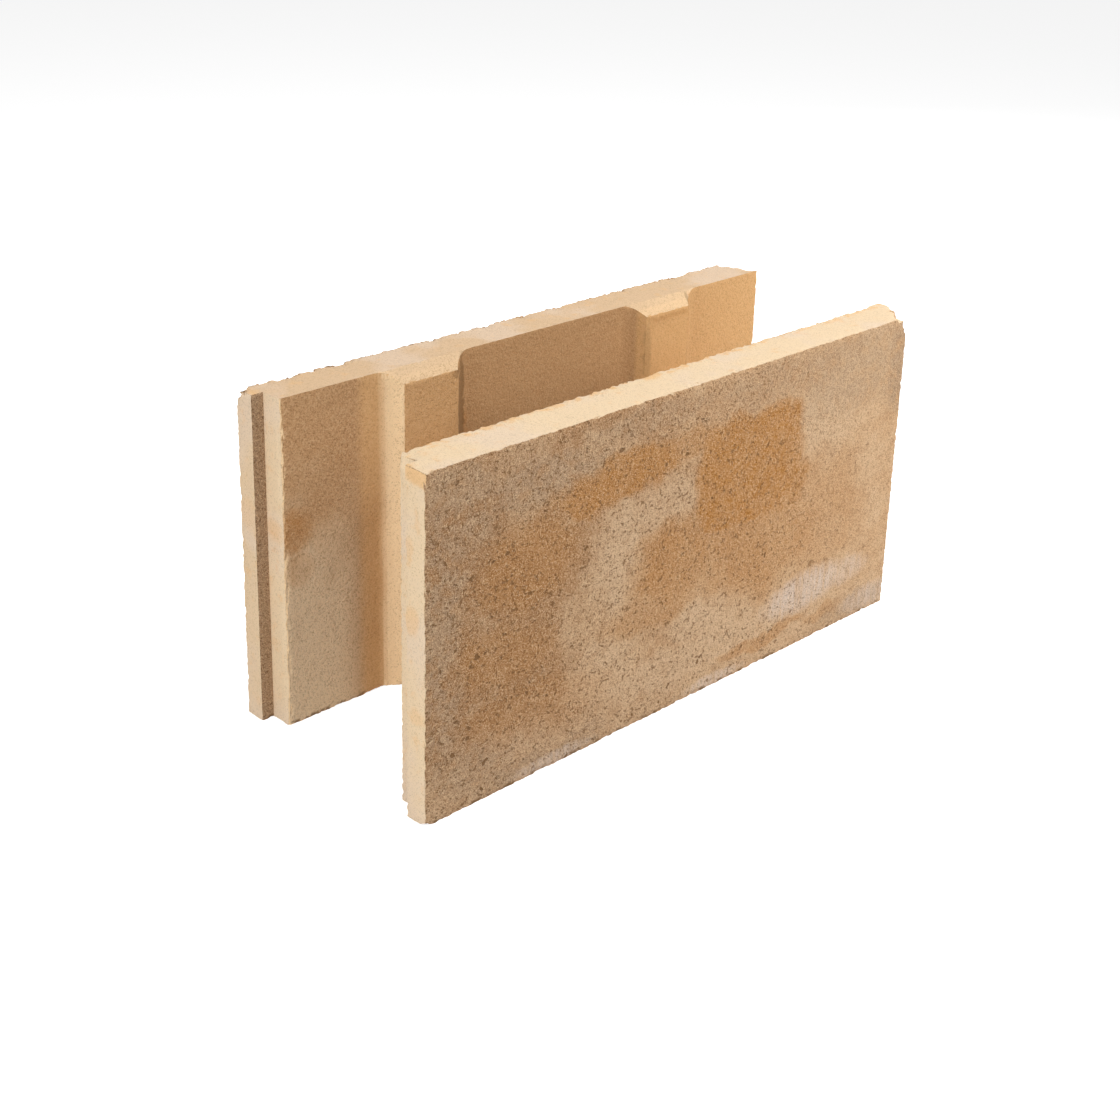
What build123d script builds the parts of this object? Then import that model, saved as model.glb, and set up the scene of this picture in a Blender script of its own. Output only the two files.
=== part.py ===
"""Concrete formwork block: two face shells joined by two cross webs, cast in one piece.

The block lies along X with its two long faces at -Y and +Y, and stands on its bed face at Z = 0.
Each shell is two layers thick. The inner layer is shifted along the block by the lap, so that
one end shows an outer lip and the other an inner tongue, and blocks in a row overlap at their joints.
The webs stop short of the top, which leaves a channel for bars and poured concrete. Above them the
roots of the webs go on up the shells as low stubs with bevelled tops.
"""

import os

from build123d import *

os.makedirs("parts", exist_ok=True)

# Sizes of the whole block, in millimetres
layer_length = 500.0
block_height = 250.0
block_width = 200.0

# Shells and the lapped joint at their ends
shell_thickness = 37.0
lip_thickness = 18.5
lap = 10.0

# Cross webs
web_thickness = 40.0
web_spacing = 250.0
web_height = 170.0
root_radius = 25.0
channel_radius = 8.0

# Stubs of the web roots on the shells, above the webs
stub_projection = 10.0
bevel_drop = 10.0

# Rounding of the arrises
end_arris_radius = 2.0
top_arris_radius = 1.5

# Places that follow from the sizes
outer_layer_x = -lap / 2
inner_layer_x = lap / 2
outer_face_y = block_width / 2
inner_face_y = outer_face_y - shell_thickness
tongue_thickness = shell_thickness - lip_thickness
stub_face_y = inner_face_y - stub_projection
web_centres = [inner_layer_x + side * web_spacing / 2 for side in (-1, 1)]
bevel_top = (inner_face_y, block_height)
bevel_foot = (stub_face_y, block_height - bevel_drop)

with BuildPart() as formwork_block:
    # Plan of the shells: the outer layer with its lip and the inner layer with its tongue
    with BuildSketch() as plan:
        for side in (-1, 1):
            with Locations((outer_layer_x, side * (outer_face_y - lip_thickness / 2))):
                Rectangle(layer_length, lip_thickness)
            with Locations((inner_layer_x, side * (inner_face_y + tongue_thickness / 2))):
                Rectangle(layer_length, tongue_thickness)
        rows = plan.vertices().group_by(Axis.Y)
        fillet(rows[0] + rows[2] + rows[-3] + rows[-1], end_arris_radius)

        # Webs between the shells, with rounded roots
        shell_corners = plan.vertices()
        with Locations(*[(x, 0) for x in web_centres]):
            Rectangle(web_thickness, 2 * inner_face_y)
        fillet(plan.vertices() - shell_corners, root_radius)
    extrude(amount=block_height)

    # Channel over the webs, from end to end
    with BuildSketch(Plane.YZ) as channel:
        with Locations((0, web_height)):
            Rectangle(2 * stub_face_y, block_height, align=(Align.CENTER, Align.MIN))
        fillet(channel.vertices().group_by(Axis.Y)[0], channel_radius)
    extrude(amount=layer_length, both=True, mode=Mode.SUBTRACT)

    # Bevels on the tops of the stubs
    with BuildSketch(Plane.YZ) as bevels:
        with BuildLine():
            Polyline(bevel_top, bevel_foot, (0, bevel_foot[1]), (0, block_height), close=True)
        make_face()
        mirror(about=Plane.YZ)
    extrude(amount=layer_length, both=True, mode=Mode.SUBTRACT)

    # Rounded top arris along each long face and around its ends
    top_edges = formwork_block.edges().group_by(Axis.Z)[-1].group_by(Axis.Y)
    fillet(top_edges[0] + top_edges[-1], top_arris_radius)

formwork_block.part.label = "formwork_block"
export_step(formwork_block.part, "parts/formwork_block.step")
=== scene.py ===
import math

import bmesh
import bpy
from bpy.props import FloatProperty, FloatVectorProperty, PointerProperty
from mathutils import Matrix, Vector, noise
from mathutils.kdtree import KDTree


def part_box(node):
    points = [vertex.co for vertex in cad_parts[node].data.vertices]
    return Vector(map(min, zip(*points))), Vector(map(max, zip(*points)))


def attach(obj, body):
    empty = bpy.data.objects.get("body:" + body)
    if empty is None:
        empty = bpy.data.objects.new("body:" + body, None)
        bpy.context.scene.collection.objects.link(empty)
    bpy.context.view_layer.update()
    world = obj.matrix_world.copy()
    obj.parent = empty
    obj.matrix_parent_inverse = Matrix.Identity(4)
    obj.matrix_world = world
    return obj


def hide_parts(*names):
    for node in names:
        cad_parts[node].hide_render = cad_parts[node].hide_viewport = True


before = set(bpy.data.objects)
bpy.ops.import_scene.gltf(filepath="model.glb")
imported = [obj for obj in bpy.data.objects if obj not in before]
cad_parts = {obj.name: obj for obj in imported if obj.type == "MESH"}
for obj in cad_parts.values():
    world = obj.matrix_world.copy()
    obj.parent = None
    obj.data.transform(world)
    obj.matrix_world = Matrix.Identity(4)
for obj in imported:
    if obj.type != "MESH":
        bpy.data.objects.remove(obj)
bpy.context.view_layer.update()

bl_info = {
    "name": "Formwork block",
    "version": (1, 0, 0),
    "blender": (4, 5, 0),
    "location": "View3D > Sidebar > Formwork block",
    "description": "Dresses the cast block with worn arrises and sandy concrete, "
                   "and sets it on a plain floor",
    "category": "Object",
}

CAD_NODE = "formwork_block"
LOW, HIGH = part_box(CAD_NODE)
CENTRE = (LOW + HIGH) / 2

# Preparing the CAD mesh: lengths in metres, areas in square metres and angles in degrees
MERGE_DISTANCE = 0.00001
FLAT_ANGLE = 0.5
SMOOTH_ANGLE = 38
ARRIS_ANGLE = 3.5
ARRIS_PITCH = 0.001
TINY_FACE = 0.0000004

# The narrow facets of the CAD roundings, in degrees: the angle between two of them, and the turn from
# the nearest face at which the edge between two of them stays
FACET_ANGLE = (6, 12)
KEPT_TURN = (28.6, 36.9)

# The most that the way out of such an edge leans along the rounding, as a part of its length
LEAN = 0.02

# Lumps and bands of the wear, in metres
WAVE_LUMPS = 0.03
STILL_BAND = 0.01
CRUMB_LUMPS = 0.004
CHIP_LUMPS = 0.012

# The chips' noise is taken from another place than the crumbs', and breaks the arris between two levels
CHIP_SHIFT = Vector((3, 1, 7))
CHIP_LEVELS = (0.1, 0.5)

# Crumbs: the least part of their depth, what noise adds to it, and the noise's level and contrast
CRUMB_LEAST = 0.2
CRUMB_MORE = 0.8
CRUMB_LEVEL = 0.45
CRUMB_CONTRAST = 1.5

# How many points of the arrises together tell the way out at one place
NEAR_POINTS = 5

# How worn and how chipped each kind of arris is, as parts of the depths in BlockSizes
WORN_BACK = (1.5, 0.5)
WORN_FRONT = (0.45, 0.0)
WORN_FRONT_SHELL = (0.7, 0.1)
WORN_TOP = (0.2, 0.0)
WORN_FOOT = (0.3, 0.12)
WORN_INSIDE = (0.2, 0.0)
WORN_REST = (0.35, 0.0)

# Where one kind of arris turns into the next, in metres from the outside of the block
LEVEL_BAND = 0.012
OUTER_BAND = 0.010
SHELL_BAND = 0.040
LAP_BAND = 0.014
TOP_CHIP_BAND = 0.03
FOOT_CHIP_BAND = 0.025

# Corners that are broken off a little: where, how far each reaches and how deep it goes
BROKEN_CORNERS = (
    ((HIGH[0] - 0.010, LOW[1], HIGH[2]), 0.017, 0.0066),
    ((HIGH[0], LOW[1] + 0.020, HIGH[2]), 0.010, 0.0030),
    ((LOW[0], HIGH[1], HIGH[2]), 0.010, 0.0032),
    ((LOW[0], LOW[1], HIGH[2]), 0.009, 0.0020),
    ((LOW[0] + 0.010, LOW[1] + 0.030, HIGH[2]), 0.013, 0.0036),
    ((HIGH[0], HIGH[1] - 0.025, HIGH[2]), 0.014, 0.0030),
    ((LOW[0], LOW[1], LOW[2]), 0.008, 0.0016),
)

# A corner breaks in towards the middle of the block: along it and upright alike, and less across it
CORNER_WAY = (-1.0, -0.3, -1.0)
CORNER_ROUGHNESS = 0.35

# Rounding off the folds there: the part of each corner's reach, the rounds and the pull of each round
SOFT_PART = 0.6
SOFT_ROUNDS = 4
SOFT_PULL = 0.5

# The area lamps: name, place and side in metres, and the stage setting with its power
LAMPS = (
    ("top", (-0.35, -0.5, 1.9), 1.6, "top_power"),
    ("over", (0, 0.1, 2.2), 1.6, "over_power"),
    ("left", (-1.8, -0.3, 0.35), 1.0, "left_power"),
    ("right", (0.95, -0.75, 0.75), 0.6, "right_power"),
    ("back", (1.1, 1.7, 0.7), 1.2, "back_power"),
)
LAMP_AIM = Vector((0, 0, 0.12))

# The camera: lens and sensor in millimetres, place in metres and turn in degrees
CAMERA_LENS = 56.19
CAMERA_SENSOR = 36.0
CAMERA_SHIFT = -0.15
CAMERA_PLACE = (-0.8841, -0.8496, 0.6548)
CAMERA_TURN = (70.237, -1.457, -44.19)

WHITE = (1, 1, 1, 1)


class BlockSizes(bpy.types.PropertyGroup):
    """Sizes of the wear and relief that the cast block gets"""

    grid: FloatProperty(
        name="Mesh grid", description="Spacing of the cuts over the flat faces",
        default=0.0065, min=0.002, unit="LENGTH")
    arris_band: FloatProperty(
        name="Arris band", description="Width beside an arris that crumbles",
        default=0.003, min=0.001, unit="LENGTH")
    chip_band: FloatProperty(
        name="Chip band", description="Width beside an arris that chips reach into",
        default=0.0065, min=0.001, unit="LENGTH")
    crumble: FloatProperty(
        name="Crumble depth", description="How deep the arrises crumble",
        default=0.0022, min=0, unit="LENGTH")
    chip: FloatProperty(
        name="Chip depth", description="How deep the larger chips go",
        default=0.005, min=0, unit="LENGTH")
    unevenness: FloatProperty(
        name="Unevenness", description="How far the cast faces dip in waves",
        default=0.0006, min=0, unit="LENGTH")


class ConcreteLook(bpy.types.PropertyGroup):
    """Colours and grain of the concrete"""

    # Sand and umber: the front's change from umber at the left to sand at the right is partly its own tone
    # and partly painted light from the front right
    sand: FloatVectorProperty(
        name="Sand", description="Moulded front at the right",
        subtype="COLOR", size=3, min=0, max=1, default=(0.6, 0.375, 0.205))
    umber: FloatVectorProperty(
        name="Umber", description="Moulded front at the left",
        subtype="COLOR", size=3, min=0, max=1, default=(0.4, 0.215, 0.098))
    pale: FloatVectorProperty(
        name="Pale sand", description="Pale patches of the moulded faces",
        subtype="COLOR", size=3, min=0, max=1, default=(0.65, 0.455, 0.285))
    # The grey wash is also painted shade on the step faces in the laps' notches
    wash: FloatVectorProperty(
        name="Grey wash", description="Grey-pink cement skin",
        subtype="COLOR", size=3, min=0, max=1, default=(0.42, 0.275, 0.165))
    tan: FloatVectorProperty(
        name="Tan", description="Middle of the back shell's inner face",
        subtype="COLOR", size=3, min=0, max=1, default=(0.56, 0.32, 0.145))
    pad: FloatVectorProperty(
        name="Pad", description="Left part of the back shell's inner face",
        subtype="COLOR", size=3, min=0, max=1, default=(0.53, 0.31, 0.15))
    # Gold is partly painted light: the right part of the inner face and the stubs are made lighter and
    # golder as if lit from the right end. It is also the colour of crumbs and stains on the tops and ends
    gold: FloatVectorProperty(
        name="Gold", description="Right part of the back shell's inner face",
        subtype="COLOR", size=3, min=0, max=1, default=(0.77, 0.46, 0.2))
    # Painted light: the flares that face the lamp at the left get this pale colour, as if lit
    flare: FloatVectorProperty(
        name="Flare", description="Web roots that flare out of the shell",
        subtype="COLOR", size=3, min=0, max=1, default=(0.95, 0.7, 0.42))
    # Cream also gives the painted light on the low part of the left pad
    cream: FloatVectorProperty(
        name="Cream", description="Struck top and ends",
        subtype="COLOR", size=3, min=0, max=1, default=(0.78, 0.6, 0.395))
    tan_top: FloatVectorProperty(
        name="Tan top", description="Struck top of the back shell",
        subtype="COLOR", size=3, min=0, max=1, default=(0.66, 0.46, 0.28))
    blush: FloatVectorProperty(
        name="Blush", description="Pinkish patches of the tops and ends",
        subtype="COLOR", size=3, min=0, max=1, default=(0.74, 0.59, 0.46))
    # Ochre is also the painted brown shade beside rib 1
    ochre: FloatVectorProperty(
        name="Ochre stain", description="Rusty stains",
        subtype="COLOR", size=3, min=0, max=1, default=(0.47, 0.205, 0.048))
    bloom: FloatVectorProperty(
        name="Lime bloom", description="White lime on the foot of the front",
        subtype="COLOR", size=3, min=0, max=1, default=(0.72, 0.61, 0.53))
    pore: FloatVectorProperty(
        name="Pores", description="Inside of the open pores",
        subtype="COLOR", size=3, min=0, max=1, default=(0.20, 0.10, 0.036))
    # This brown is dirt on the back rim, and painted shade in the creases beside the stubs and along the
    # foot
    soil_and_shade: FloatVectorProperty(
        name="Soil", description="Brown dirt in the corners inside and on the foot",
        subtype="COLOR", size=3, min=0, max=1, default=(0.19, 0.10, 0.035))
    grain_dark: FloatVectorProperty(
        name="Dark grains", description="Tint of the dark sand grains",
        subtype="COLOR", size=3, min=0, max=1, default=(0.34, 0.25, 0.13))
    grain_light: FloatVectorProperty(
        name="Light grains", description="Colour of the light sand grains",
        subtype="COLOR", size=3, min=0, max=1, default=(0.82, 0.58, 0.35))
    grain_size: FloatProperty(
        name="Grain size", description="Size of the sand grains",
        default=0.00095, min=0.0002, unit="LENGTH")


class StageSettings(bpy.types.PropertyGroup):
    """Floor, light and camera"""

    floor_size: FloatProperty(
        name="Floor size", description="Side of the square floor",
        default=12.0, min=1, unit="LENGTH")
    floor_colour: FloatVectorProperty(
        name="Floor", description="Colour of the floor",
        subtype="COLOR", size=3, min=0, max=1, default=(0.82, 0.82, 0.82))
    floor_glow: FloatProperty(
        name="Floor glow", description="Light that the floor adds where the camera sees it",
        default=0.72, min=0)
    top_power: FloatProperty(
        name="Top light", description="Power of the large lamp above the front",
        default=17.0, min=0, unit="POWER")
    over_power: FloatProperty(
        name="Overhead light", description="Power of the lamp straight above",
        default=12.5, min=0, unit="POWER")
    left_power: FloatProperty(
        name="Left light", description="Power of the lamp at the left",
        default=15.0, min=0, unit="POWER")
    right_power: FloatProperty(
        name="Right light", description="Power of the small lamp at the front right",
        default=10.0, min=0, unit="POWER")
    back_power: FloatProperty(
        name="Back light", description="Power of the lamp behind the block",
        default=14.0, min=0, unit="POWER")
    sky: FloatProperty(
        name="Sky light", description="Strength of the even light all round",
        default=0.25, min=0)


class Value:
    """A number that varies over a surface. Sums on it add the Math nodes."""

    def __init__(self, shade, socket):
        self.shade = shade
        self.socket = socket

    def maths(self, operation, *terms):
        """The result of one Math node"""
        node = self.shade.node("Math", dict(enumerate(terms)), operation=operation)
        return Value(self.shade, node.outputs[0])

    def __add__(self, other):
        return self.maths("ADD", self, other)

    __radd__ = __add__

    def __mul__(self, other):
        return self.maths("MULTIPLY", self, other)

    __rmul__ = __mul__

    def __sub__(self, other):
        return self.maths("SUBTRACT", self, other)

    def __rsub__(self, other):
        return self.maths("SUBTRACT", other, self)

    def __abs__(self):
        return self.maths("ABSOLUTE", self)

    def high(self, other):
        """The higher of two"""
        return self.maths("MAXIMUM", self, other)

    def low(self, other):
        """The lower of two"""
        return self.maths("MINIMUM", self, other)

    def step(self, start, end):
        """0 at start and 1 at end, with a soft ramp between; start may be the higher."""
        node = self.shade.node(
            "MapRange", {0: self, 1: start, 2: end, 3: 0.0, 4: 1.0},
            interpolation_type="SMOOTHSTEP", clamp=True)
        return Value(self.shade, node.outputs[0])

    def within(self, low, high, soft):
        """1 between low and high and 0 outside, with ramps of width `soft`"""
        return self.step(low - soft / 2, low + soft / 2) * self.step(high + soft / 2, high - soft / 2)


class Shade:
    """The node tree of one material or world"""

    def __init__(self, owner):
        self.owner = owner
        owner.use_nodes = True
        self.tree = owner.node_tree
        self.tree.nodes.clear()

    def node(self, kind, inputs=None, **settings):
        """Makes one node: its inputs by name or number, from sockets or constants, and its settings"""
        made = self.tree.nodes.new("ShaderNode" + kind)
        for name, setting in settings.items():
            setattr(made, name, setting)
        for key, given in (inputs or {}).items():
            if isinstance(given, Value):
                given = given.socket
            if isinstance(given, bpy.types.NodeSocket):
                self.tree.links.new(given, made.inputs[key])
            else:
                made.inputs[key].default_value = given
        return made

    def parts(self, vector):
        """The three numbers of a vector"""
        return [Value(self, socket) for socket in self.node("SeparateXYZ", {0: vector}).outputs]

    def vector(self, operation, inputs, output=0):
        """The result of one Vector Math node"""
        return self.node("VectorMath", inputs, operation=operation).outputs[output]

    def noise(self, place, size, detail=2.0, roughness=0.5):
        """Noise from 0 to 1 whose lumps are about `size` metres across"""
        node = self.node(
            "TexNoise", {"Vector": place, "Scale": 1 / size, "Detail": detail, "Roughness": roughness})
        return Value(self, node.outputs[0])

    def wander(self, place, size, reach, detail=2.0, roughness=0.6):
        """The place moved about by up to `reach` metres, in lumps of `size` metres"""
        lumps = self.node(
            "TexNoise", {"Vector": place, "Scale": 1 / size, "Detail": detail, "Roughness": roughness})
        centred = self.vector("SUBTRACT", {0: lumps.outputs["Color"], 1: (0.5, 0.5, 0.5)})
        spread = self.vector("SCALE", {0: centred, "Scale": 2 * reach})
        return self.vector("ADD", {0: place, 1: spread})

    def mix(self, factor, first, second, blend="MIX"):
        """From the first colour at factor 0 to the second at factor 1"""
        node = self.node(
            "Mix", {0: factor, 6: colour(first), 7: colour(second)}, data_type="RGBA", blend_type=blend)
        return node.outputs[2]

    def tint(self, under, where, over, strength=1.0, blend="MIX"):
        """Lays a colour over another where the mask says, at most as strongly as `strength`"""
        factor = where if strength == 1.0 else where * strength
        return self.mix(factor, under, over, blend)

    def patch(self, place, spot):
        """The spot's strength inside its soft edge, and 0 away from it"""
        moved = self.node("Mapping", {
            "Vector": place,
            "Location": (spot.x, spot.y, spot.z),
            "Rotation": (0.0, -math.radians(spot.tilt), 0.0),
            "Scale": (spot.length / 2, spot.width / 2, spot.height / 2),
        }, vector_type="TEXTURE").outputs[0]
        square = self.vector("MULTIPLY", {0: moved, 1: moved})
        if spot.squarish:
            square = self.vector("MULTIPLY", {0: square, 1: square})
        reach = Value(self, self.vector("DOT_PRODUCT", {0: square, 1: (1.0, 1.0, 1.0)}, "Value"))
        return reach.step(1 + spot.soft, 1 - spot.soft) * spot.strength

    def patches(self, place, spots):
        """The strongest of several patches at each place"""
        cover = self.patch(place, spots[0])
        for spot in spots[1:]:
            cover = cover.high(self.patch(place, spot))
        return cover


def colour(given):
    """A colour property as a socket's colour"""
    return given if isinstance(given, bpy.types.NodeSocket) else (*given, 1.0)


class Spot:
    """A soft patch of colour, mostly stains and some painted shade: its middle, length, height and width in
    metres, tilt in degrees, strength and softness
    """

    def __init__(self, x, z, length, height, strength,
                 tilt=0.0, soft=0.7, squarish=False, y=0.0, width=10.0):
        self.x = x
        self.y = y
        self.z = z
        self.width = width
        self.length = length
        self.height = height
        self.strength = strength
        self.tilt = tilt
        self.soft = soft
        self.squarish = squarish


FRONT_RUST = (
    Spot(0.060, 0.170, 0.120, 0.088, 1.0, soft=0.45, squarish=True),
    Spot(0.092, 0.150, 0.080, 0.060, 0.85, tilt=-20, soft=0.5),
    Spot(-0.078, 0.200, 0.125, 0.034, 0.90, tilt=4, soft=0.55),
    Spot(-0.005, 0.205, 0.080, 0.022, 0.55),
    Spot(-0.165, 0.162, 0.085, 0.060, 0.50, tilt=10),
    Spot(-0.190, 0.100, 0.090, 0.044, 0.35, tilt=-8),
    Spot(-0.150, 0.052, 0.130, 0.040, 0.30, tilt=-4),
    Spot(-0.022, 0.115, 0.088, 0.072, 0.68),
    Spot(-0.040, 0.086, 0.110, 0.032, 0.45),
    Spot(0.075, 0.105, 0.150, 0.086, 0.62),
    Spot(0.145, 0.105, 0.110, 0.100, 0.35),
    Spot(0.085, 0.021, 0.100, 0.014, 0.62, soft=0.5),
    Spot(0.160, 0.017, 0.045, 0.012, 0.45),
)
FRONT_PALE = (
    Spot(-0.080, 0.138, 0.052, 0.080, 0.60),
    Spot(-0.030, 0.168, 0.080, 0.034, 0.55),
    Spot(0.152, 0.190, 0.080, 0.070, 0.55),
    Spot(0.015, 0.062, 0.090, 0.030, 0.70, tilt=-4),
    Spot(0.000, 0.036, 0.180, 0.036, 0.65),
    Spot(-0.095, 0.056, 0.070, 0.040, 0.60),
)
FRONT_WASH = (
    Spot(-0.150, 0.218, 0.110, 0.032, 0.80),
    Spot(-0.225, 0.215, 0.070, 0.070, 0.65),
    Spot(0.185, 0.222, 0.150, 0.070, 0.60),
    Spot(-0.050, 0.236, 0.130, 0.022, 0.45),
    Spot(-0.240, 0.130, 0.036, 0.200, 0.80),
    Spot(-0.150, 0.008, 0.120, 0.020, 0.85),
    Spot(-0.215, 0.030, 0.070, 0.040, 0.60),
    Spot(0.240, 0.215, 0.036, 0.080, 0.95),
    Spot(0.205, 0.010, 0.100, 0.022, 0.80),
    Spot(0.100, 0.232, 0.160, 0.034, 0.40),
)
FRONT_BLOOM = (
    Spot(0.135, 0.045, 0.090, 0.030, 0.75, tilt=4, soft=0.9),
    Spot(0.185, 0.046, 0.060, 0.022, 0.45, soft=0.9),
    Spot(0.225, 0.012, 0.070, 0.020, 0.50, soft=0.9),
    Spot(-0.140, 0.005, 0.070, 0.010, 0.50, soft=0.9),
    Spot(0.030, 0.005, 0.060, 0.010, 0.55, soft=0.9),
)
# Rust stains on the inner face, and an orange line along rib 2's right edge; the strip at x -0.080 is
# painted brown shade beside rib 1
INSIDE_RUST_AND_SHADE = (
    Spot(-0.236, 0.150, 0.030, 0.034, 0.65),
    Spot(-0.232, 0.120, 0.024, 0.026, 0.35),
    Spot(-0.080, 0.190, 0.006, 0.030, 0.40),
    Spot(0.163, 0.200, 0.006, 0.090, 0.45),
    Spot(0.135, 0.236, 0.050, 0.004, 0.40),
)
# Painted shade in the creases beside the stubs, where their flares turn away from the light, and dark
# specks at their top corners
INSIDE_SHADE_AND_SPECKS = (
    Spot(-0.0845, 0.205, 0.0080, 0.085, 0.9, soft=0.6),
    Spot(-0.093, 0.237, 0.014, 0.006, 0.6),
    Spot(0.158, 0.243, 0.004, 0.012, 0.6),
    Spot(0.108, 0.205, 0.008, 0.060, 0.35),
)
END_STAINS = (
    Spot(LOW[0], 0.246, 0.02, 0.014, 0.9, y=LOW[1] + 0.008, width=0.026),
    Spot(LOW[0], 0.145, 0.02, 0.020, 0.55, y=LOW[1] + 0.014, width=0.016),
    Spot(LOW[0], 0.078, 0.02, 0.012, 0.45, y=LOW[1] + 0.008, width=0.014),
    Spot(LOW[0], 0.195, 0.02, 0.016, 0.45, y=LOW[1] + 0.016, width=0.010),
    Spot(LOW[0], 0.150, 0.03, 0.022, 0.60, y=0.073, width=0.022),
    Spot(LOW[0], 0.160, 0.02, 0.024, 0.35, y=0.090, width=0.020),
)


# Ramps that tell the surfaces apart, from where each is 0 to where it is 1. A band has its two sides and
# the width of its soft edges. Directions are parts of the normal, and places are in metres.
TOP_UP = (0.74, 0.92)
BEVEL_UP = (0.45, 0.65)
RIM_UP = (0.05, 0.35)
END_EAST = (0.6, 0.85)
FLARE_WEST = (0.10, 0.45)
END_X = (0.225, 0.230)
FLARE_X = (-0.10, -0.12)
LEFT_PAD_X = (-0.165, -0.20)
LEFT_TIP_X = (-0.243, -0.252)
FRONT_Y = (-0.0935, -0.0965)
INSIDE_Y = (0.0505, 0.0665, 0.001)
STUB_Y = (0.0600, 0.0570)
RECESS_Y = (0.078, 0.085, 0.002)
LIP_Y = (0.079, 0.084)
BACK_SHELL_Y = (-0.01, 0.01)
CHANNEL_Y = (-0.070, -0.058, 0.005)
RIM_Y = (0.0940, 0.0975)
RIM_Z = (0.2445, 0.2475)
# The foot's dark line is painted shade of the underside rim, broken up like chips
FOOT_Z = (0.0040, 0.0015)

# Lumps of the patterns, and of the wandering edges with how far they wander, in metres
MOTTLE_SIZE = 0.011
CLOUD_SIZE = 0.060
PIT_SIZE = 0.0024
HOLE_SIZE = 0.0065
STREAK_SIZE = 0.004
STREAK_STRETCH = (1.0, 1.0, 0.12)
RAGGED_EDGE = (0.026, 0.014)
FRAYED_EDGE = (0.007, 0.0035)
COARSE_RATIO = 2.2

# Levels of the noise between which pits and holes open
PIT_LEVELS = (0.355, 0.315)
HOLE_LEVELS = (0.285, 0.25)

# Relief of the grains, the lumps and the pores, as parts of the bump's depth in metres
GRAIN_HEIGHT = 0.55
COARSE_HEIGHT = 0.75
MOTTLE_HEIGHT = 0.35
PORE_DEPTH = 1.3
BUMP_STRENGTH = 0.9
BUMP_DEPTH = 0.0013

# The roughness, and what the grains add to it
ROUGHNESS = 0.86
GRAIN_ROUGHNESS = 0.12
SPECULAR = 0.22


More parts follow.
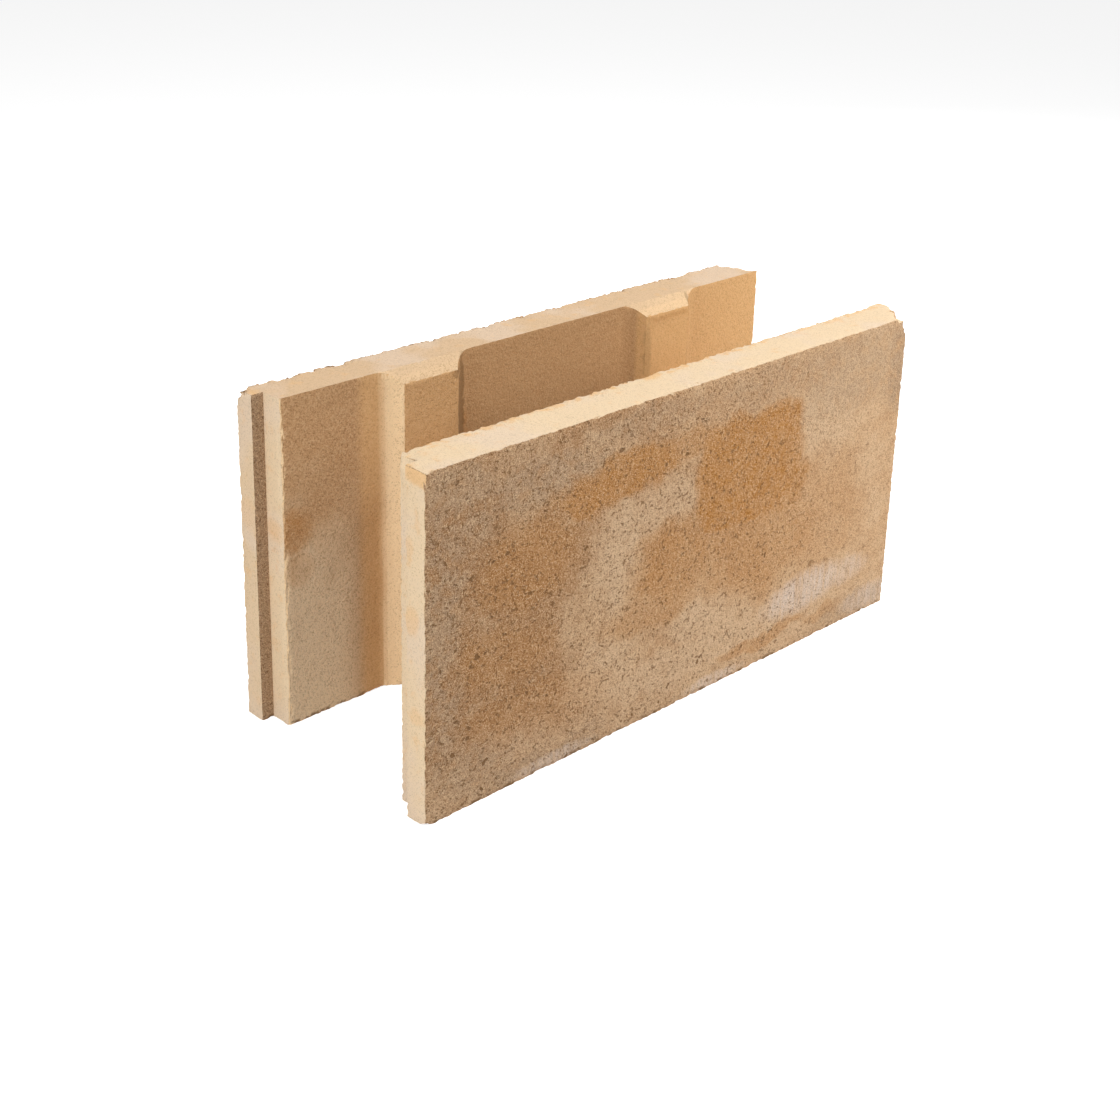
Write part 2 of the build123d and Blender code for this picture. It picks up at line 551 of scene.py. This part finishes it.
class Concrete(Shade):
    """Sandy cast concrete: grains, pores, stains and lime bloom, on the block's own coordinates"""

    def __init__(self, look):
        super().__init__(bpy.data.materials.new("sandy_concrete"))
        self.look = look
        self.place = self.node("TexCoord").outputs["Object"]
        self.x, self.y, self.z = self.parts(self.place)
        self.east, _, self.up = self.parts(self.node("NewGeometry").outputs["Normal"])

        self.ragged = self.wander(self.place, *RAGGED_EDGE)
        self.frayed = self.wander(self.place, *FRAYED_EDGE)
        self.grain = self.noise(self.place, look.grain_size, detail=1.0)
        self.coarse = self.noise(self.place, look.grain_size * COARSE_RATIO, detail=1.0)
        self.mottle = self.noise(self.place, MOTTLE_SIZE, roughness=0.65)
        self.cloud = self.noise(self.place, CLOUD_SIZE, roughness=0.6)

        self.tell_surfaces_apart()
        self.coarseness = self.find_coarseness()
        self.open_pores = self.find_pores()
        self.make_surface(self.find_colour())

    def tell_surfaces_apart(self):
        """Masks for the struck top and ends, the front, the back shell's inner face and its web roots"""
        self.top = self.up.step(*TOP_UP)
        self.end = abs(self.east).step(*END_EAST) * abs(self.x).step(*END_X) * (1 - self.top)
        self.struck = self.top.high(self.end)
        self.moulded = 1 - self.struck
        self.front = self.y.step(*FRONT_Y) * self.moulded
        self.inside = self.y.within(*INSIDE_Y) * self.moulded
        self.stub = self.y.step(*STUB_Y)
        # The sides of the web roots that face the lamp at the left, which get a painted light colour
        self.flare = (0 - self.east).step(*FLARE_WEST) * self.x.step(*FLARE_X) * self.inside

    def find_coarseness(self):
        """How coarse the skin is: open grain on the front and the left pad, tight on the rest"""
        pads = 0.34 + self.x.step(-0.19, -0.165) * 0.25 - self.stub * self.x.step(0.02, 0.0) * 0.2
        right = self.x.step(0.05, 0.25) * self.front * 0.2
        return (1 - self.inside * pads - right) * (1 - self.top * 0.62 - self.end * 0.6)

    def find_pores(self):
        """Open pores, most of them on the front, low and at the left"""
        left = 1 - (self.x + 0.05).step(0.0, 0.25) * 0.6
        low = 1 - self.z.step(0.14, 0.24) * 0.4
        busy = left * low * self.coarseness
        busy = busy * (1 - self.end) * (1 - self.flare) * (1 - self.inside * 0.6)
        pits = self.noise(self.place, PIT_SIZE, detail=1.0).step(*PIT_LEVELS)
        holes = self.noise(self.place, HOLE_SIZE, detail=1.5).step(*HOLE_LEVELS)
        return (pits * 0.8).high(holes) * busy.step(0.1, 0.7)

    def blurred(self, along, reach):
        """A coordinate with the cloud added, so that a ramp along it gets a wandering edge"""
        return along + (self.cloud - 0.5) * reach

    def find_colour(self):
        """The colour of the whole block, from the bare skins to the stains, dirt and painted shade on them
        """
        face = self.tint(self.front_skin(), self.inside, self.inner_skin())
        # Painted shade: the step faces in the laps' notches at the back shell's ends get the grey wash
        face = self.tint(face, self.y.within(*RECESS_Y), self.look.wash)
        face = self.stained(face)
        face = self.tint(face, self.struck, self.struck_skin())
        face = self.crumbly_rim(face)
        face = self.grainy(face)
        face = self.tint(face, self.open_pores, self.look.pore, strength=0.85)
        return self.paint_crease_and_foot_shade(face)

    def front_skin(self):
        """Moulded faces: the front turns from grey-brown at the left to pale sand at the right, partly its
        own tone and partly painted light from the front right
        """
        look = self.look
        # Partly painted light: the front gets lighter towards the right, as if lit from the front right
        face = self.mix(self.blurred(self.x, 0.25).step(-0.26, 0.14), look.umber, look.sand)
        face = self.tint(face, self.cloud.step(0.44, 0.62), look.cream, strength=0.2)
        face = self.tint(face, self.blurred(self.z, 0.08).step(0.060, 0.0), look.pale, strength=0.55)
        face = self.tint(face, self.patches(self.ragged, FRONT_PALE) * self.front, look.pale)
        washed = self.patches(self.ragged, FRONT_WASH) * self.front * self.mottle.step(0.25, 0.6)
        face = self.tint(face, washed, look.wash)
        face = self.tint(face, self.mottle.step(0.50, 0.34), look.umber, strength=0.28)
        return self.tint(face, self.mottle.step(0.52, 0.68), look.pale, strength=0.28)

    def inner_skin(self):
        """Inner face of the back shell: warm pads, cream low at the left, cream flares at the roots; that
        cream is painted light, and the gold at the right and on the stubs partly so
        """
        look = self.look
        pad = self.mix(self.x.step(-0.16, -0.07) * 0.7, look.pad, look.tan)
        # Painted light: the low part of the left pad is made cream, making up for the shade that the front
        # shell casts on it
        foot = self.blurred(self.z, 0.15).step(0.205, 0.075)
        pad = self.tint(pad, foot * self.x.step(*LEFT_PAD_X), look.cream)
        # Partly painted light: the right pad and the stubs, rib 2 most, are made lighter and golder as if
        # lit from the right end
        pad = self.tint(pad, self.x.step(0.10, 0.19), look.gold, strength=0.8)
        pad = self.tint(pad, self.stub * (0.45 + self.x.step(0.05, 0.12) * 0.4), look.gold)
        # Partly a warm band of the left pad, partly painted light where the pad turns into the lit flare of
        # rib 1
        pad = self.tint(pad, self.x.within(-0.177, -0.148, 0.012), look.gold, strength=0.5)
        # Painted light on the flares that face the lamp at the left
        pad = self.tint(pad, self.flare, look.flare)
        return self.tint(pad, self.up.step(*BEVEL_UP), look.cream, strength=0.6)

    def stained(self, face):
        """Rusty patches, a painted brown shade beside rib 1, and lime bloom in upright streaks"""
        front_rust = self.patches(self.ragged, FRONT_RUST) * self.front
        # Rust stains, with painted brown shade beside rib 1
        rust_and_shade = front_rust.high(self.patches(self.frayed, INSIDE_RUST_AND_SHADE) * self.inside)
        uneven = (0.78 + (self.mottle - 0.5) * 1.1).low(1.0)
        face = self.tint(face, rust_and_shade * uneven, self.look.ochre)
        stretched = self.node("Mapping", {"Vector": self.place, "Scale": STREAK_STRETCH}).outputs[0]
        streaks = self.noise(stretched, STREAK_SIZE)
        bloom = self.patches(self.frayed, FRONT_BLOOM) * self.front
        return self.tint(face, bloom * (0.4 + streaks.step(0.3, 0.65) * 0.6), self.look.bloom)

    def struck_skin(self):
        """Struck tops and the ends: smoother and cream, with gold crumbs along some arrises"""
        look = self.look
        cap = self.mix(self.y.step(*BACK_SHELL_Y) * self.top, look.cream, look.tan_top)
        cap = self.tint(cap, self.y.step(*LIP_Y) * self.end, look.pale, strength=0.4)
        cap = self.tint(cap, self.cloud.step(0.48, 0.64), look.blush, strength=0.5)
        cap = self.tint(cap, self.mottle.step(0.54, 0.74), look.gold, strength=0.35)
        cap = self.tint(cap, self.z.step(0.03, 0.0) * self.end, look.blush, strength=0.5)
        crumbs = self.frayed_bands() * self.top * self.mottle.step(0.42, 0.6)
        cap = self.tint(cap, crumbs, look.gold, strength=0.7)
        stains = self.patches(self.frayed, END_STAINS) * self.end
        return self.tint(cap, stains, look.gold, strength=0.8)

    def frayed_bands(self):
        """1 in narrow bands: along the inner edge of the front shell, and at the left end"""
        x, y, _ = self.parts(self.frayed)
        return y.within(*CHANNEL_Y).high(x.step(*LEFT_TIP_X))

    def crumbly_rim(self, face):
        """Dark grains along the outer back arris, with dirt between them except at the right"""
        rim = self.y.step(*RIM_Y) * self.z.step(*RIM_Z) * self.up.step(*RIM_UP)
        face = self.tint(face, rim * self.coarse.step(0.42, 0.58), self.look.umber, strength=0.6)
        dirt = rim * self.mottle.step(0.50, 0.58) * (self.x - 0.1).step(0.1, -0.1)
        return self.tint(face, dirt, self.look.soil_and_shade, strength=0.7)

    def grainy(self, face):
        """Dark and light sand grains"""
        speckle = self.grain * 0.7 + self.coarse * 0.3
        dark = speckle.step(0.50, 0.32) * self.coarseness
        light = speckle.step(0.50, 0.68) * self.coarseness
        face = self.tint(face, dark, self.look.grain_dark, strength=0.72, blend="MULTIPLY")
        return self.tint(face, light, self.look.grain_light, strength=0.58)

    def paint_crease_and_foot_shade(self, face):
        """Brown painted shade in the creases beside the stubs, with dark specks at their top corners, and
        on the foot a broken brown line of painted shade
        """
        # Painted shade in the creases beside the stubs
        corners = self.patches(self.frayed, INSIDE_SHADE_AND_SPECKS) * self.inside
        face = self.tint(face, corners, self.look.soil_and_shade, strength=0.7)
        # Painted shade: a broken dark line along the foot for the shadowed underside rim, in bits like
        # chips
        foot = self.z.step(*FOOT_Z) * self.mottle.step(0.50, 0.60) * self.moulded
        return self.tint(face, foot, self.look.soil_and_shade, strength=0.8)

    def make_surface(self, face):
        """The surface itself, with grains, lumps and pores as relief"""
        grains = (self.grain * GRAIN_HEIGHT + self.coarse * COARSE_HEIGHT) * self.coarseness
        height = grains + self.mottle * MOTTLE_HEIGHT - self.open_pores * PORE_DEPTH
        bump = self.node("Bump", {"Strength": BUMP_STRENGTH, "Distance": BUMP_DEPTH, "Height": height})
        surface = self.node("BsdfPrincipled", {
            "Base Color": face,
            "Roughness": (ROUGHNESS + self.grain * GRAIN_ROUGHNESS).low(1.0),
            "Specular IOR Level": SPECULAR,
            "Normal": bump.outputs[0],
        })
        self.node("OutputMaterial", {"Surface": surface.outputs[0]})


def deselect():
    """Leaves nothing selected"""
    for thing in bpy.context.selected_objects:
        thing.select_set(False)


def edit(thing, action):
    """Runs `action` in edit mode on one object"""
    deselect()
    thing.select_set(True)
    bpy.context.view_layer.objects.active = thing
    bpy.ops.object.mode_set(mode="EDIT")
    action()
    bpy.ops.object.mode_set(mode="OBJECT")


def join_flat_faces():
    """Merges the points of the CAD mesh and joins its triangles into flat faces"""
    bpy.ops.mesh.select_all(action="SELECT")
    bpy.ops.mesh.remove_doubles(threshold=MERGE_DISTANCE)
    bpy.ops.mesh.customdata_custom_splitnormals_clear()
    bpy.ops.mesh.dissolve_limited(angle_limit=math.radians(FLAT_ANGLE))


def outward_way(edge):
    """The way an edge looks out: halfway between the normals of its two faces"""
    return (edge.link_faces[0].normal + edge.link_faces[1].normal).normalized()


def thin_out_roundings(mesh):
    """Leaves three facets on each rounded arris, out of the many narrow ones of the CAD mesh"""
    shape = bmesh.new()
    shape.from_mesh(mesh)
    least_angle, largest_angle = (math.radians(angle) for angle in FACET_ANGLE)
    spare = []
    for edge in shape.edges:
        if len(edge.link_faces) == 2 and least_angle < edge.calc_face_angle() < largest_angle:
            least, lesser, larger = sorted(abs(part) for part in outward_way(edge))
            turn = math.degrees(math.atan2(lesser, larger))
            if edge.is_convex and least < LEAN and not KEPT_TURN[0] < turn < KEPT_TURN[1]:
                spare.append(edge)
    bmesh.ops.dissolve_edges(shape, edges=spare, use_verts=True)
    shape.to_mesh(mesh)
    shape.free()


def arris_points(mesh, pitch):
    """Points along the outward edges of a mesh, at most `pitch` apart, and the way each edge looks out"""
    shape = bmesh.new()
    shape.from_mesh(mesh)
    points = []
    outward = []
    for edge in shape.edges:
        sharp = len(edge.link_faces) == 2 and edge.calc_face_angle() > math.radians(ARRIS_ANGLE)
        if sharp and edge.is_convex:
            a, b = (v.co for v in edge.verts)
            count = max(1, math.ceil((b - a).length / pitch))
            points += [a.lerp(b, i / count) for i in range(count + 1)]
            outward += [outward_way(edge)] * (count + 1)
    shape.free()
    tree = KDTree(len(points))
    for i, point in enumerate(points):
        tree.insert(point, i)
    tree.balance()
    return tree, outward


def cut_grid(spacing):
    """Cuts the mesh that is in edit mode by planes across each axis, about `spacing` apart"""
    for axis in range(3):
        direction = [0, 0, 0]
        direction[axis] = 1
        count = round((HIGH[axis] - LOW[axis]) / spacing)
        for i in range(1, count):
            spot = [0, 0, 0]
            spot[axis] = LOW[axis] + (HIGH[axis] - LOW[axis]) * i / count
            bpy.ops.mesh.select_all(action="SELECT")
            bpy.ops.mesh.bisect(plane_co=spot, plane_no=direction)


def split_faces():
    """Splits the selected faces once"""
    bpy.ops.mesh.select_mode(type="FACE")
    bpy.ops.mesh.subdivide(number_cuts=1)


def refine(thing, tree, reach):
    """Splits the faces that lie within `reach` of an arris, apart from tiny ones"""
    for face in thing.data.polygons:
        face.select = face.area > TINY_FACE and tree.find(face.center)[2] < reach
    for edge in thing.data.edges:
        edge.select = False
    for vertex in thing.data.vertices:
        vertex.select = False
    edit(thing, split_faces)


def soften_corners(mesh):
    """Rounds off the folds that wear leaves at the broken corners"""
    shape = bmesh.new()
    shape.from_mesh(mesh)
    near = [
        vertex for vertex in shape.verts
        if any(
            (vertex.co - Vector(corner)).length < reach * SOFT_PART
            for corner, reach, _ in BROKEN_CORNERS)
    ]
    for _ in range(SOFT_ROUNDS):
        bmesh.ops.smooth_vert(
            shape, verts=near, factor=SOFT_PULL, use_axis_x=True, use_axis_y=True, use_axis_z=True)
    shape.to_mesh(mesh)
    shape.free()


def ease(value, start, end):
    """0 at start and 1 at end, with a soft ramp between"""
    t = min(max((value - start) / (end - start), 0.0), 1.0)
    return t * t * (3 - 2 * t)


def lumps(place, size, octaves=3):
    """Noise from about -1 to 1 whose lumps are about `size` metres across"""
    return noise.fractal(place / size, 1.0, 2.0, octaves, noise_basis="PERLIN_ORIGINAL")


def worn(co):
    """How worn and how chipped the arris is here: the outer back arris most, the edges inside least"""
    if co.z > HIGH[2] - LEVEL_BAND:
        if co.y > HIGH[1] - OUTER_BAND:
            return WORN_BACK
        if co.y < LOW[1] + OUTER_BAND:
            return WORN_FRONT
        if co.y < 0:
            crumble, chip = WORN_FRONT_SHELL
            crumbles = abs(co.x) < HIGH[0] - LAP_BAND
            chips = abs(co.x) < HIGH[0] - TOP_CHIP_BAND
            return crumble if crumbles else 0.0, chip if chips else 0.0
        return WORN_TOP
    if co.z < LOW[2] + LEVEL_BAND:
        crumble, chip = WORN_FOOT
        return crumble, chip if abs(co.x) < HIGH[0] - FOOT_CHIP_BAND else 0.0
    if abs(co.y) < HIGH[1] - SHELL_BAND:
        return WORN_INSIDE
    return WORN_REST


def wear_depth(co, away, sizes):
    """How deep the arris is worn at a place that lies `away` from it"""
    crumbling, chipping = worn(co)
    near = 1 - ease(away, 0.0, sizes.arris_band)
    crumbs = max(0.0, CRUMB_LEVEL + CRUMB_CONTRAST * lumps(co, CRUMB_LUMPS))
    depth = sizes.crumble * crumbling * near * (CRUMB_LEAST + CRUMB_MORE * crumbs)
    broken = ease(lumps(co + CHIP_SHIFT, CHIP_LUMPS, 2), *CHIP_LEVELS)
    return depth + sizes.chip * chipping * broken * (1 - ease(away, 0.0, sizes.chip_band))


def break_corners(co, move):
    """Adds to a vertex's move where it lies at a broken corner"""
    for corner, reach, depth in BROKEN_CORNERS:
        far = (co - Vector(corner)).length / reach
        if far < 1:
            inward = Vector(CORNER_WAY)
            for axis in range(3):
                if corner[axis] < CENTRE[axis]:
                    inward[axis] = -inward[axis]
            rough = 1 + CORNER_ROUGHNESS * lumps(co, CRUMB_LUMPS)
            move += inward.normalized() * depth * rough * (1 - ease(far, 0.0, 1.0))
    return move


def wear(mesh, arrises, outward, sizes):
    """Wears the arrises back along the way each one looks out, and lets the faces wave in a little"""
    places = []
    for vertex in mesh.vertices:
        co = vertex.co.copy()
        near_points = arrises.find_n(co, NEAR_POINTS)
        away = near_points[0][2]
        wave = sizes.unevenness * (0.5 + 0.5 * lumps(co, WAVE_LUMPS))
        move = -vertex.normal * wave * ease(away, 0.0, STILL_BAND)
        if away < sizes.chip_band:
            out = sum((outward[index] for _, index, _ in near_points), Vector()).normalized()
            move -= out * wear_depth(co, away, sizes)
        place = co + break_corners(co, move)
        places.append([min(max(place[i], LOW[i]), HIGH[i]) for i in range(3)])
    for vertex, place in zip(mesh.vertices, places):
        vertex.co = place


class FORMWORK_OT_block(bpy.types.Operator):
    """Make the cast block with its crumbled arrises and sandy concrete"""

    bl_idname = "formwork.block"
    bl_label = "Cast block"

    def execute(self, context):
        sizes = context.scene.block_sizes
        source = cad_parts[CAD_NODE]
        deselect()
        block = bpy.data.objects.new("cast_block", source.data.copy())
        context.collection.objects.link(block)
        block.data.materials.clear()
        edit(block, join_flat_faces)
        thin_out_roundings(block.data)
        arrises, outward = arris_points(block.data, ARRIS_PITCH)
        edit(block, lambda: cut_grid(sizes.grid))
        refine(block, arrises, sizes.chip_band)
        refine(block, arrises, sizes.arris_band)
        wear(block.data, arrises, outward, sizes)
        soften_corners(block.data)
        block.data.materials.append(Concrete(context.scene.concrete_look).owner)
        bpy.ops.object.shade_smooth_by_angle(angle=math.radians(SMOOTH_ANGLE))
        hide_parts(CAD_NODE)
        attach(block, "root")
        return {"FINISHED"}


class FORMWORK_OT_stage(bpy.types.Operator):
    """Set up the floor, the light and the camera"""

    bl_idname = "formwork.stage"
    bl_label = "Stage"

    def execute(self, context):
        settings = context.scene.stage_settings
        self.floor(context, settings)
        self.sky(context, settings)
        for name, place, side, power in LAMPS:
            self.lamp(context, name, place, side, getattr(settings, power))
        self.camera(context)
        context.scene.view_settings.view_transform = "Standard"
        return {"FINISHED"}

    def floor(self, context, settings):
        """A plain floor that glows only where the camera sees it"""
        deselect()
        bpy.ops.mesh.primitive_plane_add(size=settings.floor_size)
        floor = context.object
        floor.name = "floor"
        shade = Shade(bpy.data.materials.new("pale_floor"))
        surface = shade.node("BsdfDiffuse", {"Color": colour(settings.floor_colour)})
        glow = shade.node("Emission", {"Color": WHITE, "Strength": settings.floor_glow})
        seen = shade.node("LightPath").outputs["Is Camera Ray"]
        lit = shade.node("AddShader", {0: surface.outputs[0], 1: glow.outputs[0]})
        both = shade.node("MixShader", {0: seen, 1: surface.outputs[0], 2: lit.outputs[0]})
        shade.node("OutputMaterial", {"Surface": both.outputs[0]})
        floor.data.materials.append(shade.owner)

    def sky(self, context, settings):
        """An even light all round, which the camera sees as plain white"""
        shade = Shade(bpy.data.worlds.new("even_sky"))
        even = shade.node("Background", {"Strength": settings.sky})
        white = shade.node("Background", {"Color": WHITE, "Strength": 1.0})
        seen = shade.node("LightPath").outputs["Is Camera Ray"]
        both = shade.node("MixShader", {0: seen, 1: even.outputs[0], 2: white.outputs[0]})
        shade.node("OutputWorld", {"Surface": both.outputs[0]})
        context.scene.world = shade.owner

    def lamp(self, context, name, place, side, power):
        """A square lamp that shines on the block"""
        lamp = bpy.data.objects.new(name, bpy.data.lights.new(name, "AREA"))
        lamp.data.shape = "SQUARE"
        lamp.data.size = side
        lamp.data.energy = power
        lamp.location = place
        lamp.rotation_euler = (LAMP_AIM - lamp.location).to_track_quat("-Z", "Y").to_euler()
        context.collection.objects.link(lamp)

    def camera(self, context):
        """The camera, fitted to the picture's edges"""
        camera = bpy.data.objects.new("camera", bpy.data.cameras.new("camera"))
        context.collection.objects.link(camera)
        camera.data.sensor_width = CAMERA_SENSOR
        camera.data.lens = CAMERA_LENS
        camera.data.shift_y = CAMERA_SHIFT
        camera.location = CAMERA_PLACE
        camera.rotation_euler = [math.radians(angle) for angle in CAMERA_TURN]
        context.scene.camera = camera


class FORMWORK_PT_panel(bpy.types.Panel):
    """The block's sizes and colours, and the buttons that make it"""

    bl_label = "Formwork block"
    bl_idname = "FORMWORK_PT_panel"
    bl_space_type = "VIEW_3D"
    bl_region_type = "UI"
    bl_category = "Formwork block"

    def draw(self, context):
        scene = context.scene
        for settings in (scene.block_sizes, scene.concrete_look, scene.stage_settings):
            box = self.layout.box()
            for name in type(settings).__annotations__:
                box.prop(settings, name)
        self.layout.operator(FORMWORK_OT_block.bl_idname)
        self.layout.operator(FORMWORK_OT_stage.bl_idname)


CLASSES = (
    BlockSizes, ConcreteLook, StageSettings,
    FORMWORK_OT_block, FORMWORK_OT_stage, FORMWORK_PT_panel,
)


def register():
    for kind in CLASSES:
        bpy.utils.register_class(kind)
    bpy.types.Scene.block_sizes = PointerProperty(type=BlockSizes)
    bpy.types.Scene.concrete_look = PointerProperty(type=ConcreteLook)
    bpy.types.Scene.stage_settings = PointerProperty(type=StageSettings)


def unregister():
    del bpy.types.Scene.stage_settings
    del bpy.types.Scene.concrete_look
    del bpy.types.Scene.block_sizes
    for kind in reversed(CLASSES):
        bpy.utils.unregister_class(kind)


def main():
    register()
    bpy.ops.formwork.block()
    bpy.ops.formwork.stage()


if __name__ == "__main__":
    main()
